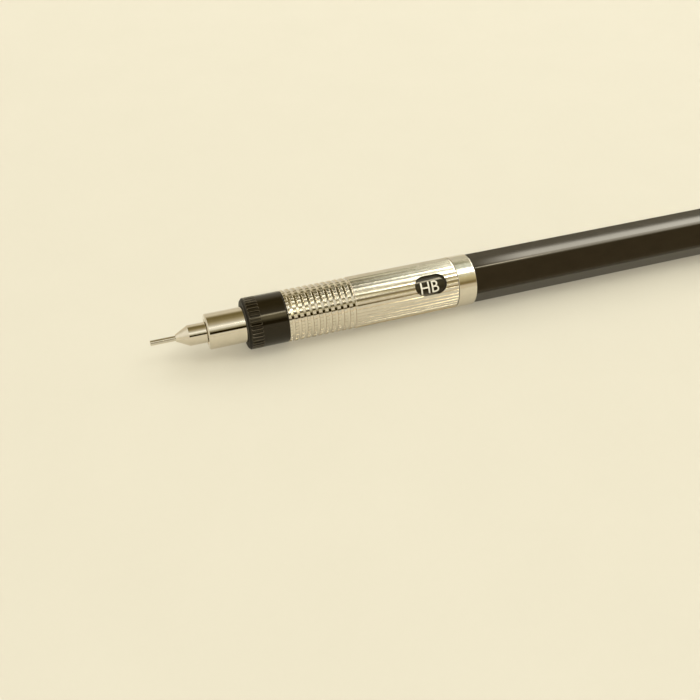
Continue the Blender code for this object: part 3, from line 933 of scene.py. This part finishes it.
def make_world():
    """Pale surroundings drawn by direction: a strip light overhead that widens into a window.

    Directions are told apart by how far they lean along the pencil, from -1 to 1, and by
    their turn about it: 0 degrees is the horizon in front, 90 straight up and 180 the
    horizon behind. Colours are given by turn, and shares and widths by lean.
    """
    world = bpy.data.worlds.new("studio")
    bpy.context.scene.world = world
    world.use_nodes = True
    tree = world.node_tree
    nodes = tree.nodes
    links = tree.links

    def math_node(operation, a, b=None):
        node = nodes.new("ShaderNodeMath")
        node.operation = operation
        for socket, value in zip(node.inputs, (a, b)):
            if isinstance(value, float):
                socket.default_value = value
            elif value is not None:
                links.new(value, socket)
        return node.outputs[0]

    def ramp(value, stops):
        node = nodes.new("ShaderNodeValToRGB")
        elements = node.color_ramp.elements
        while len(elements) > 1:
            elements.remove(elements[-1])
        for i, (position, color) in enumerate(stops):
            element = elements[0] if i == 0 else elements.new(position)
            element.position = position
            element.color = (*color, 1.0)
        links.new(value, node.inputs["Fac"])
        return node.outputs["Color"]

    def by_turn(stops):
        return ramp(turn, [(degrees / HALF_TURN, color) for degrees, color in stops])

    def by_share(value, stops, unit=1.0):
        return ramp(value, [(position, (share / unit,) * 3) for position, share in stops])

    def mix(factor, a, b, blend="MIX"):
        node = nodes.new("ShaderNodeMix")
        node.data_type = "RGBA"
        node.blend_type = blend
        if factor is None:
            node.inputs["Factor"].default_value = 1.0
        else:
            links.new(factor, node.inputs["Factor"])
        links.new(a, node.inputs["A"])
        links.new(b, node.inputs["B"])
        return node.outputs["Result"]

    def add_light(room, color, share):
        return mix(None, room, mix(None, color, share, "MULTIPLY"), "ADD")

    def plain_color(color):
        socket = nodes.new("ShaderNodeRGB").outputs[0]
        socket.default_value = (*color, 1.0)
        return socket

    split = nodes.new("ShaderNodeSeparateXYZ")
    links.new(nodes.new("ShaderNodeTexCoord").outputs["Generated"], split.inputs[0])
    lean = split.outputs["X"]
    front = math_node("MULTIPLY", split.outputs["Y"], -1.0)
    lift = math_node("MAXIMUM", split.outputs["Z"], 0.0)
    turn = math_node("DIVIDE", math_node("ARCTAN2", lift, front), math.pi)

    # The room as nose, dial and knurl show it, as reeds, band and barrel do, and past the tip
    near = by_turn([
        (0, (0.88, 0.80, 0.62)), (14, (0.88, 0.80, 0.62)), (17, (0.02, 0.012, 0.0)),
        (28.5, (0.02, 0.012, 0.0)), (31.5, (0.36, 0.32, 0.20)), (38, (0.56, 0.52, 0.37)),
        (46, (1.10, 1.06, 0.92)), (61, (1.15, 1.11, 0.98)), (71, (0.66, 0.61, 0.47)),
        (83, (0.50, 0.43, 0.27)), (95, (0.31, 0.255, 0.125)), (110, (0.24, 0.19, 0.082)),
        (122, (0.20, 0.155, 0.062)), (131, (0.30, 0.245, 0.125)), (139, (0.60, 0.53, 0.36)),
        (150, (0.84, 0.76, 0.58)), (165, (0.77, 0.71, 0.57)), (180, (0.73, 0.67, 0.54)),
    ])
    side = by_turn([
        (0, (0.76, 0.67, 0.49)), (12, (0.74, 0.64, 0.46)), (19, (0.28, 0.21, 0.09)),
        (26, (0.28, 0.21, 0.09)), (33, (0.50, 0.42, 0.23)), (47, (0.71, 0.62, 0.36)),
        (60, (0.74, 0.70, 0.48)), (67, (1.35, 1.40, 1.32)), (88, (1.35, 1.40, 1.32)),
        (96, (0.66, 0.70, 0.60)), (108, (0.72, 0.75, 0.62)), (117, (0.40, 0.39, 0.27)),
        (124, (0.42, 0.41, 0.28)), (141, (0.75, 0.72, 0.57)), (155, (0.68, 0.65, 0.51)),
        (180, (0.72, 0.68, 0.54)),
    ])
    away = by_turn([
        (0, (0.86, 0.78, 0.60)), (30, (0.90, 0.83, 0.66)), (60, (1.15, 1.10, 0.98)),
        (115, (1.05, 1.00, 0.86)), (140, (0.80, 0.73, 0.56)), (180, (0.75, 0.68, 0.52)),
    ])
    # Darker where the knurl shows it, and dimmer overhead where the reeds do
    gloom = by_turn([
        (36, (1.0, 1.0, 1.0)), (44, (0.82, 0.82, 0.80)), (66, (0.82, 0.82, 0.80)),
        (75, (0.42, 0.42, 0.40)), (126, (0.45, 0.45, 0.43)), (136, (1.0, 1.0, 1.0)),
    ])
    gloomy = by_share(lean, [(0.185, 0.0), (0.21, 1.0), (0.27, 1.0), (0.32, 0.0)])
    near = mix(gloomy, near, gloom, "MULTIPLY")
    soft = by_turn([
        (40, (1.0, 1.0, 1.0)), (55, (0.72, 0.72, 0.70)), (95, (0.72, 0.72, 0.70)),
        (105, (1.0, 1.0, 1.0)),
    ])
    side = mix(by_share(lean, [(0.362, 1.0), (0.38, 0.0)]), side, soft, "MULTIPLY")
    room = mix(by_share(lean, [(0.262, 0.0), (0.305, 1.0)]), near, side)
    leaning_left = math_node("MULTIPLY", lean, -1.0)
    room = mix(by_share(leaning_left, [(0.12, 0.0), (0.34, 1.0)]), room, away)

    # The window, seen in the barrel's top face
    window = by_turn([
        (42, (0.0, 0.0, 0.0)), (50, (0.2, 0.195, 0.18)), (63, (0.5, 0.49, 0.45)),
        (83, (0.85, 0.83, 0.76)), (100, (1.0, 0.98, 0.90)), (141.4, (1.0, 0.98, 0.90)),
        (142.8, (0.0, 0.0, 0.0)),
    ])
    window_share = by_share(lean, [(0.402, 0.0), (0.45, 1.0), (0.62, 1.0), (0.68, 0.0)])
    room = add_light(room, window, math_node("MULTIPLY", window_share, WINDOW_GLOW))

    # The strip light: its middle and half its width, in degrees of turn, and its strength
    middle = by_share(lean, [
        (0.0, 54.0), (0.16, 57.5), (0.35, 69.5), (0.39, 77.0), (0.45, 78.0),
    ], HALF_TURN)
    half_width = by_share(lean, [
        (0.0, 0.0), (0.04, 2.8), (0.16, 3.4), (0.34, 3.2), (0.39, 9.5), (0.43, 9.5), (0.5, 0.0),
    ], HALF_TURN)
    strength = by_share(lean, [
        (0.0, 0.03), (0.146, 0.03), (0.157, 0.9), (0.185, 0.9), (0.20, 0.0), (0.28, 0.0),
        (0.335, 0.7), (0.37, 0.7), (0.385, 0.3), (0.405, 1.3),
    ])
    off = math_node("ABSOLUTE", math_node("SUBTRACT", turn, middle))
    depth = math_node("SUBTRACT", half_width, off)
    depth = math_node("MULTIPLY", depth, HALF_TURN / STRIP_EDGE)
    cover = math_node("MINIMUM", math_node("MAXIMUM", depth, 0.0), 1.0)
    strip = math_node("MULTIPLY", cover, math_node("MULTIPLY", strength, STRIP_POWER))
    room = add_light(room, strip, plain_color((1.0, 0.96, 0.80)))

    # A wider glow behind the strip, seen in the black dial
    halo = by_turn([
        (33, (0.0, 0.0, 0.0)), (44, (2.2, 1.9, 1.0)), (57, (2.2, 1.9, 1.0)),
        (62, (0.0, 0.0, 0.0)),
    ])
    halo_share = by_share(lean, [(0.150, 0.0), (0.158, 1.0), (0.186, 1.0), (0.20, 0.0)])
    room = add_light(room, halo, halo_share)

    # Plain towards both ends, where all turns meet
    ends = by_share(math_node("ABSOLUTE", lean), [(0.72, 0.0), (0.93, 1.0)])
    room = mix(ends, room, plain_color((0.84, 0.77, 0.60)))

    background = nodes["Background"]
    links.new(room, background.inputs["Color"])
    background.inputs["Strength"].default_value = 1.0


def make_key():
    """Soft light from behind. Only matt surfaces show it."""
    light = bpy.data.lights.new("key", "AREA")
    light.shape = "RECTANGLE"
    light.size = light.size_y = KEY_SIZE
    light.energy = KEY_POWER
    light.color = (1.0, 0.98, 0.93)
    obj = bpy.data.objects.new("key", light)
    obj.location = KEY_PLACE
    obj.rotation_euler = obj.location.to_track_quat("Z", "Y").to_euler()
    obj.visible_glossy = False
    bpy.context.scene.collection.objects.link(obj)


def make_fill():
    """Even light from above that casts no shadow, so that the shadows stay faint."""
    light = bpy.data.lights.new("fill", "SUN")
    light.energy = FILL_POWER
    light.color = (1.0, 0.95, 0.85)
    light.use_shadow = False
    light.angle = math.radians(30.0)
    obj = bpy.data.objects.new("fill", light)
    obj.visible_glossy = False
    bpy.context.scene.collection.objects.link(obj)


def make_camera():
    """Camera close to the writing end, looking down on it from the front left."""
    back = Vector((
        -math.sin(CAMERA_AZIMUTH) * math.cos(CAMERA_ELEVATION),
        -math.cos(CAMERA_AZIMUTH) * math.cos(CAMERA_ELEVATION),
        math.sin(CAMERA_ELEVATION),
    ))
    right = Vector((math.cos(CAMERA_AZIMUTH), -math.sin(CAMERA_AZIMUTH), 0.0))
    up = back.cross(right)
    aim = TIP + Vector((CAMERA_AIM, 0, 0)) * MM
    drop = CAMERA_DROP / CAMERA_FOCAL * CAMERA_DISTANCE
    data = bpy.data.cameras.new("camera")
    data.sensor_width = SENSOR
    data.lens = SENSOR * CAMERA_FOCAL / IMAGE_WIDE
    data.clip_start = 0.001
    data.clip_end = 10.0
    camera = bpy.data.objects.new("camera", data)
    rotation = Matrix((right, up, back)).transposed().to_4x4()
    spot = aim + (back * CAMERA_DISTANCE - up * drop) * MM
    camera.matrix_world = Matrix.Translation(spot) @ rotation
    bpy.context.scene.collection.objects.link(camera)
    bpy.context.scene.camera = camera


bpy.context.scene.view_settings.view_transform = "Standard"
make_camera()
make_nose()
make_dial()
make_grades()
make_grip()
make_band()
make_barrel()
make_rear()
make_clip()
make_button()
make_lead()
make_spring()
dress_inner_nodes()
make_floor()
make_backdrop()
make_world()
make_key()
make_fill()
